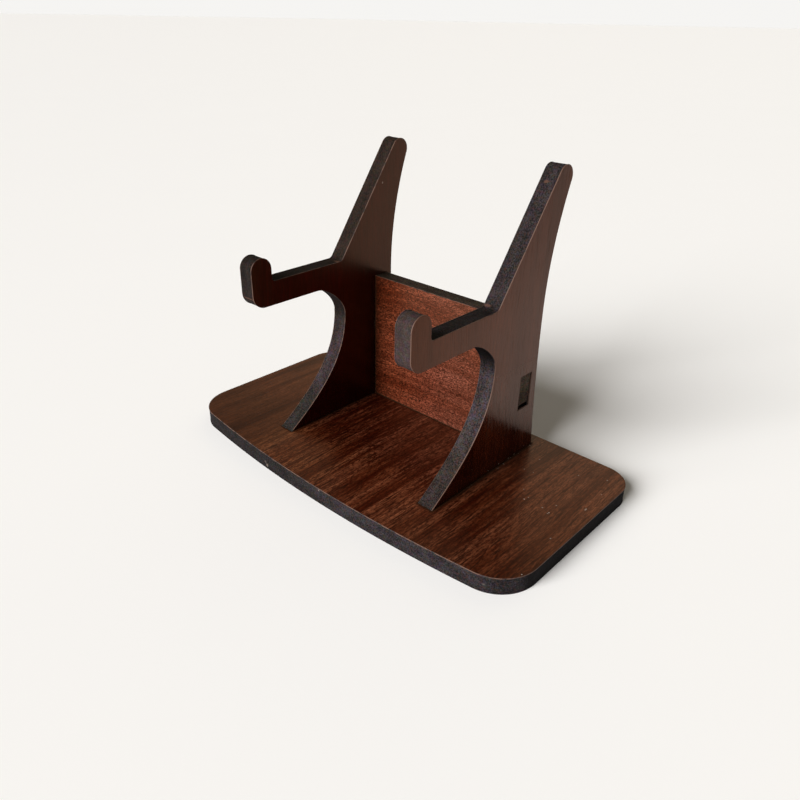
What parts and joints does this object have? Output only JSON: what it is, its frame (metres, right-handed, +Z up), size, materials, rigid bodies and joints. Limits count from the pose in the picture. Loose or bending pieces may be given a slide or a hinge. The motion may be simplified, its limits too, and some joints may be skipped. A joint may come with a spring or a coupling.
{
  "type": "game controller stand",
  "caption": "Slot-together wooden desk stand: hooked arms on upright brackets cradle a game controller above a bowed base.",
  "frame": {"origin": "middle of the underside of the base plate, the middle of the bottom of the whole stand", "axes": "+X to the right along the base's long side, -Y to the front where the hooks are, +Z up"},
  "size_m": [0.151, 0.0782, 0.1039],
  "materials": {
    "walnut_board": "satin dark walnut faces, charred laser-cut edges"
  },
  "bodies": {
    "root": {"base_plate": "walnut_board", "left_bracket": "walnut_board", "right_bracket": "walnut_board", "back_panel": "walnut_board"}
  },
  "joints": []
}
